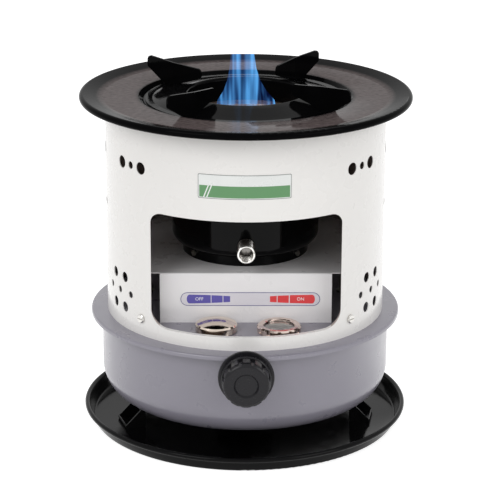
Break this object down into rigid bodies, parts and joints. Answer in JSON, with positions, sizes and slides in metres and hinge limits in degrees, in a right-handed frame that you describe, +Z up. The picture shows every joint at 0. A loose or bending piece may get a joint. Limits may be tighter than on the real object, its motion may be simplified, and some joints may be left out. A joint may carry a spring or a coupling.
{
  "type": "kerosene stove",
  "caption": "Round kerosene stove on a drip tray: wick burner behind a casing window, wick lift worked by a dial, screw-on fuel cap, float gauge and pot supports.",
  "frame": {"origin": "centre of the drip tray's underside, on the floor", "axes": "+Z up; -Y to the front, where the window and the dial are; +X to the right of someone facing the front"},
  "size_m": [0.3296, 0.3463, 0.3589],
  "materials": {
    "tray_enamel": "gloss",
    "tank_paint": "satin",
    "casing_paint": "satin",
    "deck_enamel": "gloss",
    "black_enamel": "gloss",
    "zinc_steel": "satin",
    "flame_steel": "matte",
    "bright_nickel": "polished",
    "gear_brass": "satin",
    "knob_plastic": "satin",
    "lens_clear": "gloss",
    "disc_white": "matte",
    "float_body": "matte",
    "seal_rubber": "matte",
    "wick_cotton": "matte"
  },
  "bodies": {
    "stove": {"drip_tray": "tray_enamel", "tank_legs": "zinc_steel", "tank_bowl": "tank_paint", "tank_top": "tank_paint", "filler_neck": "zinc_steel", "filler_strainer": "zinc_steel", "gauge_bezel": "bright_nickel", "gauge_lens": "lens_clear", "gauge_housing": "zinc_steel", "wick_inner_tube": "zinc_steel", "wick_outer_tube": "zinc_steel", "wick_tube_nuts": "zinc_steel", "shaft_tube": "zinc_steel", "shaft_gland": "gear_brass", "shaft_packing": "seal_rubber", "deck": "deck_enamel", "deck_posts": "zinc_steel", "burner_seat_ring": "zinc_steel", "outer_casing": "casing_paint", "casing_brackets": "zinc_steel", "casing_screws": "zinc_steel"},
    "dial": {"control_knob": "knob_plastic", "dial_shaft": "zinc_steel", "wick_pinion": "gear_brass"},
    "wick_unit": {"wick_carrier": "zinc_steel", "wick": "wick_cotton"},
    "burner": {"burner_base_plate": "zinc_steel", "burner_drum": "black_enamel", "drum_screws": "zinc_steel", "outer_flame_tube": "flame_steel", "inner_flame_tube": "flame_steel", "flame_tube_pins": "zinc_steel", "flame_spreader": "flame_steel", "burner_cone": "zinc_steel", "handle_stud": "zinc_steel", "handle_spring": "bright_nickel"},
    "gasket": {"cap_gasket": "seal_rubber"},
    "cap": {"fuel_cap": "bright_nickel"},
    "float": {"fuel_float": "float_body"},
    "indicator": {"gauge_disc": "disc_white", "gauge_spindle": "zinc_steel"},
    "plate": {"top_plate": "black_enamel"},
    "pot_stand": {"pot_ring": "black_enamel", "pot_support_1": "black_enamel", "pot_support_2": "black_enamel", "pot_support_3": "black_enamel", "pot_support_4": "black_enamel"}
  },
  "joints": [
    {"name": "dial_turn", "type": "hinge", "parent": "stove", "child": "dial", "pos_m": [0, -0.16, 0.0983], "axis": [0, 1, 0], "range_deg": [-120, 0]},
    {"name": "wick_slide", "type": "slide", "parent": "stove", "child": "wick_unit", "axis": [0, 0, 1], "range_m": [-0.01466, 0]},
    {"name": "burner_turn", "type": "hinge", "parent": "stove", "child": "burner", "pos_m": [0, 0, 0.2], "axis": [0, 0, 1], "range_deg": [-10, 10]},
    {"name": "gasket_rise", "type": "slide", "parent": "stove", "child": "gasket", "axis": [0, 0, 1], "range_m": [0, 0.003]},
    {"name": "cap_turn", "type": "hinge", "parent": "gasket", "child": "cap", "pos_m": [-0.0288, -0.107, 0.134], "axis": [0, 0, 1], "range_deg": [0, 720]},
    {"name": "float_rise", "type": "slide", "parent": "stove", "child": "float", "axis": [0, 0, 1], "range_m": [0, 0.058]},
    {"name": "gauge_turn", "type": "hinge", "parent": "stove", "child": "indicator", "pos_m": [0.0322, -0.107, 0.12], "axis": [0, 0, 1], "range_deg": [-151, 0]},
    {"name": "top_lift", "type": "slide", "parent": "stove", "child": "plate", "axis": [0, 0, 1], "range_m": [0, 0.06]},
    {"name": "hob_lift", "type": "slide", "parent": "plate", "child": "pot_stand", "axis": [0, 0, 1], "range_m": [0, 0.04]}
  ],
  "couplings": [
    {"joint": "dial_turn", "follows": "wick_slide", "rad_per_m": 142.86},
    {"joint": "cap_turn", "follows": "gasket_rise", "rad_per_m": 4188.8},
    {"joint": "gauge_turn", "follows": "float_rise", "rad_per_m": -45.138}
  ]
}
